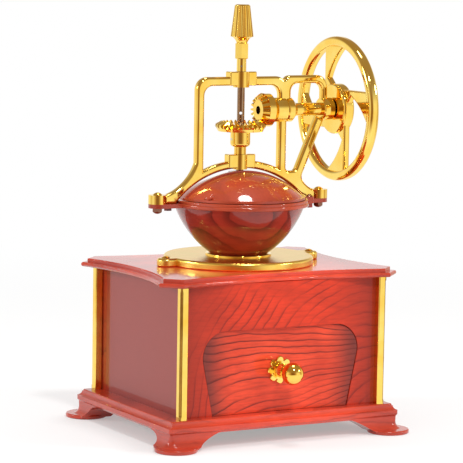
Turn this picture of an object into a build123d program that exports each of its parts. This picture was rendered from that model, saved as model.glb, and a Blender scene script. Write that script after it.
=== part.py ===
from build123d import *
from math import asin, atan2, cos, degrees, hypot, pi, radians, sin, sqrt, tan
import os

# Hand crank coffee grinder. Millimetres, +Z up, front towards -Y, crank wheel towards +X.
# The origin is on the floor, on the line of the vertical shaft.

os.makedirs("parts", exist_ok=True)

# ---------------------------------------------------------------- driving dimensions

# Base
foot_height = 9.6
apron_height = 4.2
plinth_step = 3.85
plinth_x = 158.0
plinth_y = 128.0
plinth_inset = 2.7
plinth_corner = 2.0
apron_chamfer = 1.6
step_round = 0.9
floor_opening_margin = 20.0
foot_spread_x = 146.8
foot_spread_y = 121.8
foot_pad_radius = 12.9
foot_pad_height = 2.6
foot_pad_round = 0.9
foot_sole_x = 14.8
foot_sole_y = 13.7
foot_wing_x = 17.2
foot_wing_y = 11.3
foot_wing_spare = 1.5
foot_bow_x = 0.7
foot_bow_y = 2.6
foot_waist_rise = 6.6
foot_waist_reach = 0.3
foot_waist_round = 3.0
foot_ankle_rise = 4.3
foot_ankle_reach = 1.5
foot_ankle_round = 5.5
foot_instep_rise = 2.5
foot_instep_reach = 4.0
foot_instep_round = 8.0
foot_sole_rise = 1.0

# Box
column_spacing_x = 136.3
column_spacing_y = 114.5
column_side = 5.2
column_round = 0.9
column_flute = 1.0
column_flute_out = 0.35
column_flute_end = 2.4
box_height = 78.65
front_recess = 4.4
panel_thickness = 6.0
floor_board_thickness = 6.0

# Drawer
drawer_top_width = 113.0
drawer_bottom_width = 92.4
drawer_face_height = 50.2
drawer_corner = 15.0
drawer_gap = 0.4
drawer_face_thickness = 7.0
drawer_scoop = 2.2
drawer_side = 4.0
drawer_side_inset = 1.5
drawer_depth = 92.0
drawer_wall_height = 30.0
drawer_bottom = 3.0
drawer_lift = 0.2
runner_width = 4.0
runner_height = 5.0
runner_gap = 0.4
stop_thickness = 3.0
knob_height_on_face = 24.7
rosette_radius = 6.2
rosette_lobe = 2.2
rosette_lobes = 8
rosette_thickness = 1.5
rosette_edge = 0.4
rosette_seat = 0.05
knob_ball = 6.7
knob_waist = 3.4
knob_throat = 3.9
knob_shoulder = 4.4
knob_base = 5.6
knob_collar = 1.9
knob_reach = 21.2
knob_screw = 1.6
knob_screw_head = 3.2
knob_screw_rise = 1.8
knob_screw_grip = 10.0

# Top boards and deck plate
moulding_height = 2.7
moulding_round = 1.2
board_height = 2.3
board_x = 156.6
board_y = 120.2
board_cut = 8.9
board_scoop = 8.5
board_round = 0.6
moulding_overhang = 3.6
deck_radius = 46.1
deck_thickness = 5.0
deck_lug_span = 111.4
deck_lug_width = 11.0
deck_round = 1.7
deck_screw_span = 100.6
deck_screw_head = 2.8
deck_screw_rise = 1.2
deck_screw_shank = 1.5
slot_width = 0.9
slot_depth = 0.8

# Hopper
ring_height = 1.1
ring_round = 0.5
ring_radius = 20.4
bowl_foot_radius = 17.8
bowl_height = 29.6
bowl_mid_radius = 31.3
bowl_mid_height = 13.05
bowl_rim_radius = 40.2
bowl_wall = 2.2
throat_radius = 15.0
spigot_wall = 1.6
flange_thickness = 2.5
flange_proud = 3.0
flange_round = 0.9
ear_end = 5.5
ear_width = 12.0
cover_ring_height = 1.7
cover_ring_inset = 0.6
cover_ring_width = 5.0
cover_ring_round = 0.7
dome_inset = 0.13
dome_rise = 18.5
dome_wall = 1.6
dome_gap = 0.3
lid_front = 3.3
lid_lap = 4.0
lid_rib_width = 1.7
lid_rib_rise = 0.5
lid_band_height = 1.5
lid_band_width = 1.9
lid_band_proud = 0.5
lid_eye = 7.0
lid_knob_turn = -57.0
lid_knob_fall = 41.0
lid_knob_radius = 2.6
lid_knob_neck = 1.6
lid_knob_rise = 2.6
lid_knob_sink = 0.9
lid_knob_round = 0.8
rim_screw_proud = 2.8
rim_screw_y = 6.4
rim_tab_radius = 3.2
rim_tab_length = 6.0
rim_screw_head = 2.3
rim_screw_rise = 1.5
rim_screw_shank = 1.1
rim_boss_radius = 2.6
rim_boss_height = 2.6

# Yoke
yoke_depth = 5.5
yoke_rise = 76.3
leg_spread = 57.8
leg_width = 5.4
top_bar = 5.5
yoke_outer_round = 8.0
yoke_inner_round = 6.0
arch_gap = 1.7
arch_width = 4.9
ear_height = 5.5
ear_boss_radius = 5.6
bolt_span = 113.0
bolt_shank = 1.9
bolt_head = 2.9
bolt_rise = 1.5
acorn_radius = 3.2
acorn_height = 3.6
acorn_hex = 1.9
acorn_bore = 2.4
hub_wing_x = 18.6
hub_wing_y = 6.5
hub_height = 8.6
hub_edge_round = 0.8
upper_hub_radius = 5.0
upper_hub_drop = 1.0
lower_hub_radius = 4.6
lower_hub_drop = 0.7
edge_round = 1.8
axle_drop = 20.8
inner_boss_start = 22.2
inner_boss_end = 34.6
inner_boss_radius = 7.6
boss_groove = 0.7
boss_groove_x = 30.6
bore_gap = 0.4
boss_taper = 3.6
tube_radius = 4.0
outer_boss_start = 56.4
outer_boss_end = 64.3
outer_boss_radius = 7.0
bracket_rise = 0.4
bracket_bar = 5.0
tube_end = 56.5
bracket_post = 4.0
strut_width = 5.8
strut_foot_x = 38.4
strut_foot_rise = 16.5
strut_head_x = 55.5
strut_head_drop = 5.4
flare_rise = 24.0
flare_mid_x = 37.6
flare_mid_rise = 14.1
flare_end = 51.0
strut_flare_x = 42.2
strut_flare_rise = 14.5
strut_flare_mid_x = 45.7
strut_flare_mid_rise = 9.4
strut_flare_end = 52.0
leg_foot_rise = 17.6
notch_round = 1.0
crook_round = 2.2
flare_round = 5.0
bracket_start = 29.4
bracket_inner = 34.3
bracket_outer_round = 7.5
bracket_inner_round = 4.5
bracket_window_round = 5.0

# Shafts and gears
shaft_radius = 2.3
shaft_hole = 0.9
bush_wall = 1.3
running_gap = 0.05
shaft_tail = 12.3
axle_radius = 2.6
axle_start = 14.6
crown_teeth = 26
pinion_teeth = 16
gear_module = 1.2
tooth_face = 4.6
tooth_play = 0.30
pressure_angle = 24.0
tooth_tip = 0.85
tooth_root = 1.2
tip_reach = 0.95
tip_step = 0.25
crown_web = 1.8
crown_hub_round = 2.4
crown_hub_radius = 6.15
spacer_radius = 3.7
spacer_height = 4.4
spacer_gap = 0.1
pinion_end = 19.6
pinion_gap = 0.3
pinion_collar_radius = 5.0
gear_pin = 0.8
space_start = 0.65
hole_drop = 1.5
cross_turn = 29.0

# Finial
finial_foot = 7.8
finial_barrel_height = 9.4
finial_barrel_radius = 3.9
finial_neck_radius = 3.3
finial_bevel = 0.4
finial_flare_mid_radius = 4.6
finial_flare_mid_rise = 2.6
finial_flare_height = 4.2
finial_cup_radius = 7.1
finial_top_radius = 4.8
finial_crown_radius = 3.8
finial_crown_drop = 0.2
finial_cup_height = 19.7
finial_dome = 0.9
finial_socket = 7.0
finial_flutes = 12
finial_flute_radius = 1.15
finial_flute_out = 0.5
finial_pin = 0.7
finial_collar_radius = 2.95
finial_gap = 0.15
finial_pin_rise = 3.3

# Crank wheel
wheel_radius = 45.1
rim_section = 6.2
rim_width = 7.0
wheel_x = 69.0
hub_radius = 15.7
hub_face = 0.6
hub_width = 7.6
hub_round = 1.6
spoke_thickness = 4.4
spokes = 4
spoke_edge = 12.5
spoke_tip_side = 9.5
spoke_tip_reach = 39.4
spoke_middle_side = -2.5
spoke_middle_reach = 29.0
spoke_neck_side = -8.8
spoke_neck_reach = 19.0
spoke_root = 6.0
spoke_round = 1.2
rim_round = 2.6
crank_pin_offset = 6.0
crank_pin_reach = 31.0
crank_pin_radius = 1.5
crank_pin_head = 3.0
crank_pin_cap = 1.4
crank_pin_tip = 2.1
crank_knob_gap = 0.3
crank_knob_radius = 6.0
crank_knob_waist = 4.0
crank_knob_neck = 3.8
crank_knob_neck_place = 0.35
crank_knob_swell_place = 0.75
crank_collar = 1.2
wheel_nut_radius = 4.6
wheel_nut_height = 6.0

# Grinding parts
housing_radius = 20.2
housing_wall = 2.0
housing_flange = 25.0
housing_flange_thickness = 2.5
housing_depth = 27.0
housing_gap = 0.3
outer_burr_height = 17.0
outer_burr_top = 14.6
outer_burr_bottom = 13.2
outer_burr_grooves = 24
inner_burr_height = 17.0
inner_burr_top = 7.4
inner_burr_bottom = 12.2
inner_burr_grooves = 10
inner_groove_radius = 1.5
outer_groove_radius = 0.7
bridge_height = 4.0
bridge_hub = 6.4
bridge_windows = 3
washer_thickness = 1.0
washer_radius = 5.2
adjuster_radius = 7.0
adjuster_height = 5.0
adjuster_notches = 12
adjuster_notch = 0.8
adjuster_rise = 2.0
bridge_rib_angle = 24.0
spring_wire = 0.55
spring_radius = 3.6
spring_turns = 3.5
spring_height = 3.0

# ---------------------------------------------------------------- worked out sizes

apron_top = foot_height + apron_height
plinth_top = apron_top + plinth_step
box_top = plinth_top + box_height
moulding_top = box_top + moulding_height
board_top = moulding_top + board_height
deck_top = board_top + deck_thickness
bowl_base = deck_top + ring_height
flange_base = bowl_base + bowl_height
flange_top = flange_base + flange_thickness
flange_radius = bowl_rim_radius + flange_proud
cover_ring_top = flange_top + cover_ring_height
cover_ring_radius = flange_radius - cover_ring_inset
rim_screw_x = flange_radius + rim_screw_proud
dome_radius = ((cover_ring_radius - dome_inset) ** 2 + dome_rise**2) / (2 * dome_rise)
dome_top = flange_top + dome_rise
dome_centre = dome_top - dome_radius
lid_base = cover_ring_top + dome_gap
lid_inner = dome_radius - dome_wall
rear_outer = lid_inner - dome_gap
rib_radius = dome_radius + lid_rib_rise
lid_band_radius = sqrt(dome_radius**2 - (lid_base - dome_centre) ** 2) + lid_band_proud
arch_inner = dome_radius + arch_gap
arch_outer = arch_inner + arch_width
ear_top = flange_top + ear_height
yoke_top = flange_top + yoke_rise
axle_z = yoke_top - axle_drop
leg_inner = (leg_spread - leg_width) / 2
leg_outer = (leg_spread + leg_width) / 2
bracket_end = tube_end + bracket_post
bracket_height = yoke_top + bracket_rise - axle_z
strut_lean = atan2(axle_z - strut_head_drop - flange_top - strut_foot_rise, strut_head_x - strut_foot_x)
strut_across_x = strut_width / 2 * sin(strut_lean)
strut_across_z = strut_width / 2 * cos(strut_lean)
upper_hub_top = yoke_top + hub_height - top_bar
lower_hub_top = dome_centre + arch_inner + hub_height
lower_hub_base = lower_hub_top - hub_height - lower_hub_drop
upper_hub_base = upper_hub_top - hub_height - upper_hub_drop

pad_x = foot_spread_x / 2
pad_y = foot_spread_y / 2
foot_outer_x = plinth_x / 2 - apron_chamfer / 2
foot_outer_y = plinth_y / 2 - apron_chamfer / 2
foot_block_x = foot_sole_x + foot_wing_x + foot_wing_spare
foot_block_y = foot_sole_y + foot_wing_y + foot_wing_spare
cove_z = apron_top + plinth_inset
drawer_floor_z = plinth_top + drawer_lift
box_middle = plinth_top + box_height / 2
floor_x = plinth_x - 2 * floor_opening_margin
floor_y = plinth_y - 2 * floor_opening_margin
inner_x = column_spacing_x / 2 - column_side / 2
outer_y = column_spacing_y / 2 + column_side / 2
front_y = outer_y - front_recess
deck_screw_x = deck_screw_span / 2
bolt_x = bolt_span / 2
flute_reach = column_side / 2 - column_flute_out
drawer_half = drawer_bottom_width / 2 - drawer_side_inset
drawer_start = -front_y + drawer_face_thickness
drawer_end = drawer_start + drawer_depth
drawer_middle = (drawer_start + drawer_end) / 2
stop_y = drawer_end + drawer_gap + stop_thickness / 2
face_y = front_y - drawer_scoop - rosette_seat
knob_z = drawer_floor_z + knob_height_on_face
knob_screw_length = face_y - front_y + drawer_face_thickness + rosette_thickness + knob_screw_grip
knob_axis = Axis((0, 0, knob_z), (0, 1, 0))

finial_base = upper_hub_top + finial_foot
finial_start = upper_hub_top + finial_gap
finial_flare_z = finial_base + finial_barrel_height + finial_flare_height
finial_top = finial_flare_z + finial_cup_height
shaft_top = finial_base + finial_socket
cross_plane = Plane(
    origin=(0, 0, 0),
    x_dir=(cos(radians(cross_turn)), -sin(radians(cross_turn)), 0),
    z_dir=(-sin(radians(cross_turn)), -cos(radians(cross_turn)), 0),
)
crown_plane = Plane(origin=(0, 0, axle_z), x_dir=(1, 0, 0), z_dir=(0, 0, -1))
pinion_plane = Plane(origin=(0, 0, axle_z), x_dir=(0, 0, -1), z_dir=(1, 0, 0))
wheel_plane = Plane(origin=(wheel_x, 0, axle_z), x_dir=(0, -1, 0), z_dir=(-1, 0, 0))
spoke_face = wheel_x + spoke_thickness / 2
hub_start = outer_boss_end + hub_face
hub_end = hub_start + hub_width
nut_end = hub_end + wheel_nut_height
crank_pin_y = crank_pin_reach
crank_pin_z = axle_z - crank_pin_offset
foot_reach = pad_x + foot_pad_radius
crown_cone = atan2(crown_teeth, pinion_teeth)
crown_hub_base = lower_hub_top + spacer_height
crown_hub_length = (
    axle_z
    - gear_module * (pinion_teeth / 2 + tooth_root * sin(crown_cone))
    - crown_web
    - crown_hub_base
)
pinion_pin_x = inner_boss_start - pinion_gap - (inner_boss_start - pinion_gap - pinion_end) / 2
crown_pin_z = crown_hub_base + crown_hub_length / 2
housing_base = board_top - housing_depth
bridge_base = housing_base
bridge_top = bridge_base + bridge_height
shaft_bottom = bridge_base - shaft_tail
adjuster_base = shaft_bottom + adjuster_rise
washer_top = bridge_top + washer_thickness
burr_base = washer_top + spring_height

bush_radius = shaft_radius + running_gap + bush_wall
axle_bush_radius = axle_radius + running_gap + bush_wall
shaft_axis = Axis.Z
rim_tab_reach = hypot(rim_screw_x, rim_screw_y) - rim_tab_length / 2
axle_axis = Axis((0, 0, axle_z), (1, 0, 0))


def at_radius(radius):
    """Pick circular edges of one radius."""
    return lambda edge: edge.geom_type == GeomType.CIRCLE and abs(edge.radius - radius) < 0.01


# ---------------------------------------------------------------- plinth and box

with BuildPart() as foot_pad:
    Cylinder(foot_pad_radius, foot_pad_height, align=(Align.CENTER, Align.CENTER, Align.MIN))
    fillet(foot_pad.edges().filter_by(GeomType.CIRCLE), foot_pad_round)

with BuildPart() as foot:
    for rise, reach, corner in (
        (foot_height + apron_height / 2, 0, plinth_corner),
        (foot_waist_rise, foot_waist_reach, foot_waist_round),
        (foot_ankle_rise, foot_ankle_reach, foot_ankle_round),
        (foot_instep_rise, foot_instep_reach, foot_instep_round),
    ):
        with BuildSketch(Plane.XY.offset(rise)):
            with Locations((foot_outer_x + reach, foot_outer_y + reach)):
                RectangleRounded(
                    foot_block_x + reach, foot_block_y + reach, corner, align=(Align.MAX, Align.MAX)
                )
    loft()
    extrude(foot.faces().sort_by(Axis.Z)[0], amount=foot_instep_rise - foot_sole_rise)
    for side, outer, sole, wing, bow in (
        (Plane.XZ, foot_outer_x, foot_sole_x, foot_wing_x, foot_bow_x),
        (Plane.YZ, foot_outer_y, foot_sole_y, foot_wing_y, foot_bow_y),
    ):
        with BuildSketch(side):
            with BuildLine():
                underside = SagittaArc((outer - sole, 0), (outer - sole - wing, foot_height), -bow)
                Polyline(underside @ 1, (0, foot_height), (0, 0), underside @ 0)
            make_face()
        extrude(amount=plinth_x, both=True, mode=Mode.SUBTRACT)
    with Locations((pad_x, pad_y, 0)):
        add(foot_pad.part)

with BuildPart() as base_plinth:
    with BuildSketch(Plane.XY.offset(foot_height)):
        RectangleRounded(plinth_x, plinth_y, plinth_corner)
    extrude(amount=cove_z - foot_height)
    chamfer(base_plinth.faces().sort_by(Axis.Z)[0].edges(), apron_chamfer)
    with BuildSketch(Plane.XZ):
        with Locations((-plinth_x / 2, cove_z), (plinth_x / 2, cove_z)):
            Circle(plinth_inset)
    extrude(amount=plinth_y, both=True, mode=Mode.SUBTRACT)
    with BuildSketch(Plane.YZ):
        with Locations((-plinth_y / 2, cove_z), (plinth_y / 2, cove_z)):
            Circle(plinth_inset)
    extrude(amount=plinth_x, both=True, mode=Mode.SUBTRACT)
    with BuildSketch(Plane.XY.offset(cove_z)):
        RectangleRounded(plinth_x - 2 * plinth_inset, plinth_y - 2 * plinth_inset, plinth_corner)
    extrude(amount=plinth_top - cove_z)
    fillet(base_plinth.faces().sort_by(Axis.Z)[-1].edges(), step_round)
    add(foot.part)
    mirror(about=Plane.YZ)
    mirror(about=Plane.XZ)
    with BuildSketch(Plane.XY.offset(plinth_top)):
        Rectangle(floor_x, floor_y)
    extrude(amount=-(plinth_top - foot_height), mode=Mode.SUBTRACT)
base_plinth.part.label = "base_plinth"
export_step(base_plinth.part, "parts/base_plinth.step")

with BuildPart() as floor_board:
    with BuildSketch(Plane.XY.offset(plinth_top)):
        Rectangle(floor_x, floor_y)
    extrude(amount=-floor_board_thickness)
floor_board.part.label = "floor_board"
export_step(floor_board.part, "parts/floor_board.step")


def drawer_outline(plane, grow):
    """The drawer's face: a trapezoid, wide at the top, with rounded upper corners."""
    lean = (drawer_top_width - drawer_bottom_width) / 2 / drawer_face_height
    half_low = drawer_bottom_width / 2 + grow * hypot(1, lean) - grow * lean
    half_top = drawer_top_width / 2 + grow * hypot(1, lean) + grow * lean
    low = drawer_floor_z - grow
    high = drawer_floor_z + drawer_face_height + grow
    with BuildSketch(plane) as outline:
        with BuildLine():
            Polyline((-half_low, low), (-half_top, high), (half_top, high), (half_low, low), close=True)
        make_face()
        fillet(outline.vertices().group_by(Axis.Y)[-1], drawer_corner + grow)
    return outline.sketch


drawer_opening = drawer_outline(Plane.XZ.offset(front_y), drawer_gap)
drawer_face = drawer_outline(Plane.XZ.offset(front_y), 0)

with BuildPart() as front_panel:
    with BuildSketch(Plane.XZ.offset(front_y)):
        with Locations((0, box_middle)):
            Rectangle(2 * inner_x, box_height)
    extrude(amount=-panel_thickness)
    extrude(drawer_opening, amount=-panel_thickness, mode=Mode.SUBTRACT)
front_panel.part.label = "front_panel"
export_step(front_panel.part, "parts/front_panel.step")

with BuildPart() as back_panel:
    with BuildSketch(Plane.XZ.offset(-front_y)):
        with Locations((0, box_middle)):
            Rectangle(2 * inner_x, box_height)
    extrude(amount=panel_thickness)
back_panel.part.label = "back_panel"
export_step(back_panel.part, "parts/back_panel.step")

for name, side in (("left_panel", -1), ("right_panel", 1)):
    with BuildPart() as side_panel:
        with BuildSketch(Plane.YZ.offset(side * inner_x)):
            with Locations((0, box_middle)):
                Rectangle(2 * (front_y - panel_thickness), box_height)
        extrude(amount=-side * panel_thickness)
    side_panel.part.label = name
    export_step(side_panel.part, f"parts/{name}.step")

for name, side_x, side_y in (
    ("column_front_left", -1, -1),
    ("column_front_right", 1, -1),
    ("column_back_left", -1, 1),
    ("column_back_right", 1, 1),
):
    column_x = side_x * column_spacing_x / 2
    column_y = side_y * column_spacing_y / 2
    with BuildPart() as column:
        with BuildSketch(Plane.XY.offset(plinth_top)):
            with Locations((column_x, column_y)):
                Rectangle(column_side, column_side)
        extrude(amount=box_height)
        fillet(column.edges().filter_by(Axis.Z), column_round)
        with BuildSketch(Plane.XY.offset(plinth_top + column_flute_end)):
            with Locations((column_x + side_x * flute_reach, column_y + side_y * flute_reach)):
                Circle(column_flute)
        extrude(amount=box_height - 2 * column_flute_end, mode=Mode.SUBTRACT)
    column.part.label = name
    export_step(column.part, f"parts/{name}.step")

# ---------------------------------------------------------------- drawer

with BuildPart() as drawer_front:
    extrude(drawer_face, amount=-drawer_face_thickness)
    with BuildSketch(Plane.XY.offset(plinth_top)):
        with BuildLine():
            scoop = ThreePointArc(
                (-drawer_top_width / 2, -front_y),
                (0, drawer_scoop - front_y),
                (drawer_top_width / 2, -front_y),
            )
            Line(scoop @ 1, scoop @ 0)
        make_face()
    extrude(amount=drawer_face_height + 2 * drawer_lift, mode=Mode.SUBTRACT)
    with BuildSketch(Plane.XZ.offset(face_y)):
        with Locations((0, knob_z)):
            Circle(rosette_radius + rosette_lobe + rosette_seat)
    extrude(amount=drawer_scoop, mode=Mode.SUBTRACT)
    with Locations(Plane((0, -face_y, knob_z), z_dir=(0, -1, 0)).location):
        Hole(knob_screw, depth=drawer_face_thickness)
drawer_front.part.label = "drawer_front"
export_step(drawer_front.part, "parts/drawer_front.step")

for name, side in (("drawer_left_side", -1), ("drawer_right_side", 1)):
    with BuildPart() as drawer_wall:
        with BuildSketch(Plane.YZ.offset(side * drawer_half)):
            with Locations((drawer_middle, drawer_floor_z + drawer_wall_height / 2)):
                Rectangle(drawer_depth, drawer_wall_height)
        extrude(amount=-side * drawer_side)
    drawer_wall.part.label = name
    export_step(drawer_wall.part, f"parts/{name}.step")

with BuildPart() as drawer_floor:
    with BuildSketch(Plane.XY.offset(drawer_floor_z)):
        with Locations((0, drawer_middle - drawer_side / 2)):
            Rectangle(2 * (drawer_half - drawer_side), drawer_depth - drawer_side)
    extrude(amount=drawer_bottom)
drawer_floor.part.label = "drawer_floor"
export_step(drawer_floor.part, "parts/drawer_floor.step")

with BuildPart() as drawer_tail:
    with BuildSketch(Plane.XZ.offset(-drawer_end)):
        with Locations((0, drawer_floor_z + drawer_wall_height / 2)):
            Rectangle(2 * (drawer_half - drawer_side), drawer_wall_height)
    extrude(amount=drawer_side)
drawer_tail.part.label = "drawer_back"
export_step(drawer_tail.part, "parts/drawer_back.step")

with BuildPart() as drawer_guide:
    with BuildSketch(Plane.XY.offset(plinth_top)):
        for side in (-1, 1):
            with Locations((side * (drawer_half + runner_gap + runner_width / 2), drawer_start)):
                Rectangle(runner_width, drawer_depth + drawer_gap, align=(Align.CENTER, Align.MIN))
        with Locations((0, stop_y)):
            Rectangle(2 * (drawer_half + runner_gap + runner_width), stop_thickness)
    extrude(amount=runner_height)
drawer_guide.part.label = "drawer_guide"
export_step(drawer_guide.part, "parts/drawer_guide.step")

with BuildPart() as knob_rosette:
    with BuildSketch(Plane.XZ.offset(face_y)):
        with Locations((0, knob_z)):
            Circle(rosette_radius)
            with PolarLocations(rosette_radius, rosette_lobes):
                Circle(rosette_lobe)
    extrude(amount=rosette_thickness)
    with Locations(Plane((0, -face_y - rosette_thickness, knob_z), z_dir=(0, -1, 0)).location):
        Hole(knob_screw, depth=2 * rosette_thickness)
    chamfer(knob_rosette.faces().sort_by(Axis.Y)[0].outer_wire().edges(), rosette_edge)
knob_rosette.part.label = "knob_rosette"
export_step(knob_rosette.part, "parts/knob_rosette.step")

with BuildPart() as drawer_knob:
    with BuildSketch(Plane.XY.offset(knob_z)):
        base_y = -face_y - rosette_thickness
        tip_y = base_y - knob_reach
        ball_y = tip_y + knob_ball
        with BuildLine():
            throat_y = ball_y + sqrt(knob_ball**2 - knob_throat**2)
            Polyline(
                (0, tip_y),
                (0, base_y),
                (knob_base, base_y),
                (knob_base, base_y - knob_collar),
                (knob_shoulder, base_y - knob_collar),
            )
            neck = ThreePointArc(
                (knob_shoulder, base_y - knob_collar),
                (knob_waist, (base_y - knob_collar + throat_y) / 2),
                (knob_throat, throat_y),
            )
            ThreePointArc(neck @ 1, (knob_ball, ball_y), (0, tip_y))
        make_face()
    revolve(axis=knob_axis)
    with BuildSketch(Plane.XZ.offset(-base_y)):
        with Locations((0, knob_z)):
            Circle(knob_screw)
    extrude(amount=knob_screw_grip, mode=Mode.SUBTRACT)
drawer_knob.part.label = "drawer_knob"
export_step(drawer_knob.part, "parts/drawer_knob.step")

with BuildPart() as knob_screw_part:
    with BuildSketch(Plane.XZ.offset(front_y - drawer_face_thickness)):
        with Locations((0, knob_z)):
            Circle(knob_screw)
    extrude(amount=knob_screw_length)
    with BuildSketch(Plane.XZ.offset(front_y - drawer_face_thickness)):
        with Locations((0, knob_z)):
            Circle(knob_screw_head)
    extrude(amount=-knob_screw_rise)
    fillet(knob_screw_part.faces().sort_by(Axis.Y)[-1].edges(), knob_screw_rise / 2)
knob_screw_part.part.label = "knob_screw"
export_step(knob_screw_part.part, "parts/knob_screw.step")

# ---------------------------------------------------------------- top boards and deck plate


def scooped_outline(plane, grow):
    """A board with cut corners, whose four sides are drawn in by shallow arcs."""
    x = board_x / 2 + grow
    y = board_y / 2 + grow
    cut = board_cut + grow * (2 - sqrt(2))
    with BuildSketch(plane) as outline:
        with BuildLine():
            front = ThreePointArc((cut - x, -y), (0, board_scoop - y), (x - cut, -y))
            right = ThreePointArc((x, cut - y), (x - board_scoop, 0), (x, y - cut))
            back = ThreePointArc((x - cut, y), (0, y - board_scoop), (cut - x, y))
            left = ThreePointArc((-x, y - cut), (board_scoop - x, 0), (-x, cut - y))
            Line(front @ 1, right @ 0)
            Line(right @ 1, back @ 0)
            Line(back @ 1, left @ 0)
            Line(left @ 1, front @ 0)
        make_face()
    return outline.sketch


moulding_outline = scooped_outline(Plane.XY.offset(box_top), moulding_overhang)
board_outline = scooped_outline(Plane.XY.offset(moulding_top), 0)

with BuildPart() as top_moulding:
    extrude(moulding_outline, amount=moulding_height)
    fillet(top_moulding.faces().sort_by(Axis.Z)[0].edges(), moulding_round)
    fillet(top_moulding.faces().sort_by(Axis.Z)[-1].edges(), moulding_round)
    with Locations((0, 0, box_top)):
        Hole(housing_radius + housing_gap, depth=2 * moulding_height)
top_moulding.part.label = "top_moulding"
export_step(top_moulding.part, "parts/top_moulding.step")

with BuildPart() as top_board:
    extrude(board_outline, amount=board_height)
    fillet(top_board.faces().sort_by(Axis.Z)[-1].edges(), board_round)
    with Locations((0, 0, board_top)):
        Hole(housing_radius + housing_gap, depth=2 * board_height)
    with Locations((-deck_screw_x, 0, board_top), (deck_screw_x, 0, board_top)):
        Hole(deck_screw_shank, depth=board_height)
top_board.part.label = "top_board"
export_step(top_board.part, "parts/top_board.step")

with BuildPart() as deck_plate:
    with BuildSketch(Plane.XY.offset(board_top)):
        Circle(deck_radius)
        SlotOverall(deck_lug_span, deck_lug_width)
    extrude(amount=deck_thickness)
    fillet(deck_plate.faces().sort_by(Axis.Z)[-1].edges(), deck_round)
    fillet(deck_plate.faces().sort_by(Axis.Z)[0].edges(), deck_round / 2)
    with Locations((0, 0, deck_top)):
        Hole(throat_radius + spigot_wall, depth=2 * deck_thickness)
    with Locations((-deck_screw_x, 0, deck_top), (deck_screw_x, 0, deck_top)):
        Hole(deck_screw_shank, depth=2 * deck_thickness)
deck_plate.part.label = "deck_plate"
export_step(deck_plate.part, "parts/deck_plate.step")


def slotted_screw(head_radius, head_rise, shank_radius, shank_length, seat):
    """A round-head screw with its head's seat at the given height on the Z axis."""
    dome = (head_radius**2 + head_rise**2) / (2 * head_rise)
    crown = (dome * sin(asin(head_radius / dome) / 2), seat + head_rise - dome
             + dome * cos(asin(head_radius / dome) / 2))
    with BuildPart() as screw:
        with BuildSketch(Plane.XZ):
            with BuildLine():
                Polyline(
                    (0, seat + head_rise),
                    (0, seat - shank_length),
                    (shank_radius, seat - shank_length),
                    (shank_radius, seat),
                    (head_radius, seat),
                )
                ThreePointArc((head_radius, seat), crown, (0, seat + head_rise))
            make_face()
        revolve(axis=Axis.Z)
        with BuildSketch(Plane.XY.offset(seat + head_rise)):
            Rectangle(slot_width, 2 * head_radius)
        extrude(amount=-slot_depth, mode=Mode.SUBTRACT)
    return screw.part


deck_screw = slotted_screw(
    deck_screw_head, deck_screw_rise, deck_screw_shank, deck_thickness + board_height, deck_top
)
for name, side in (("deck_screw_left", -1), ("deck_screw_right", 1)):
    with BuildPart() as placed_screw:
        with Locations((side * deck_screw_x, 0, 0)):
            add(deck_screw)
    placed_screw.part.label = name
    export_step(placed_screw.part, f"parts/{name}.step")

# ---------------------------------------------------------------- hopper and its cover

with BuildPart() as bowl_ring:
    with BuildSketch(Plane.XY.offset(deck_top)):
        Circle(ring_radius)
        Circle(throat_radius + spigot_wall, mode=Mode.SUBTRACT)
    extrude(amount=ring_height)
    fillet(bowl_ring.faces().sort_by(Axis.Z)[-1].outer_wire().edges(), ring_round)
bowl_ring.part.label = "bowl_ring"
export_step(bowl_ring.part, "parts/bowl_ring.step")

rim_tab_turn = atan2(rim_screw_y, rim_screw_x)
rim_tab_places = [
    Location(
        (side * rim_tab_reach * cos(rim_tab_turn), -side * rim_tab_reach * sin(rim_tab_turn), 0),
        (0, 0, -degrees(rim_tab_turn)),
    )
    for side in (-1, 1)
]

with BuildPart() as hopper_bowl:
    with BuildSketch(Plane.XZ):
        with BuildLine():
            bowl_wall_arc = ThreePointArc(
                (bowl_foot_radius, bowl_base),
                (bowl_mid_radius, bowl_base + bowl_mid_height),
                (bowl_rim_radius, flange_base),
            )
            Polyline(
                bowl_wall_arc @ 1,
                (flange_radius, flange_base),
                (flange_radius, flange_top),
                (bowl_rim_radius - bowl_wall, flange_top),
                (bowl_rim_radius - bowl_wall, flange_base),
            )
            inside_arc = ThreePointArc(
                (bowl_rim_radius - bowl_wall, flange_base),
                (bowl_mid_radius - bowl_wall, bowl_base + bowl_mid_height + bowl_wall / 2),
                (throat_radius, bowl_base + bowl_wall / 2),
            )
            Polyline(
                inside_arc @ 1,
                (throat_radius, board_top),
                (throat_radius + spigot_wall, board_top),
                (throat_radius + spigot_wall, bowl_base),
                bowl_wall_arc @ 0,
            )
        make_face()
    revolve(axis=Axis.Z)
    fillet(hopper_bowl.edges().filter_by(at_radius(flange_radius)), flange_round)
    with BuildSketch(Plane.XY.offset(flange_base)):
        SlotOverall(bolt_span + 2 * ear_end, ear_width)
        Circle(bowl_rim_radius, mode=Mode.SUBTRACT)
        with Locations(rim_tab_places):
            SlotCenterToCenter(rim_tab_length, 2 * rim_tab_radius)
    extrude(amount=flange_thickness)
    with BuildSketch(Plane.XY.offset(flange_base)):
        with Locations((-rim_screw_x, rim_screw_y), (rim_screw_x, -rim_screw_y)):
            RegularPolygon(rim_boss_radius, 6)
    extrude(amount=-rim_boss_height)
    with Locations((-bolt_x, 0, flange_top), (bolt_x, 0, flange_top)):
        Hole(bolt_shank, depth=2 * flange_thickness)
    with Locations((-rim_screw_x, rim_screw_y, flange_top), (rim_screw_x, -rim_screw_y, flange_top)):
        Hole(rim_screw_shank, depth=flange_thickness + 2 * rim_boss_height)
hopper_bowl.part.label = "hopper_bowl"
export_step(hopper_bowl.part, "parts/hopper_bowl.step")


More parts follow.
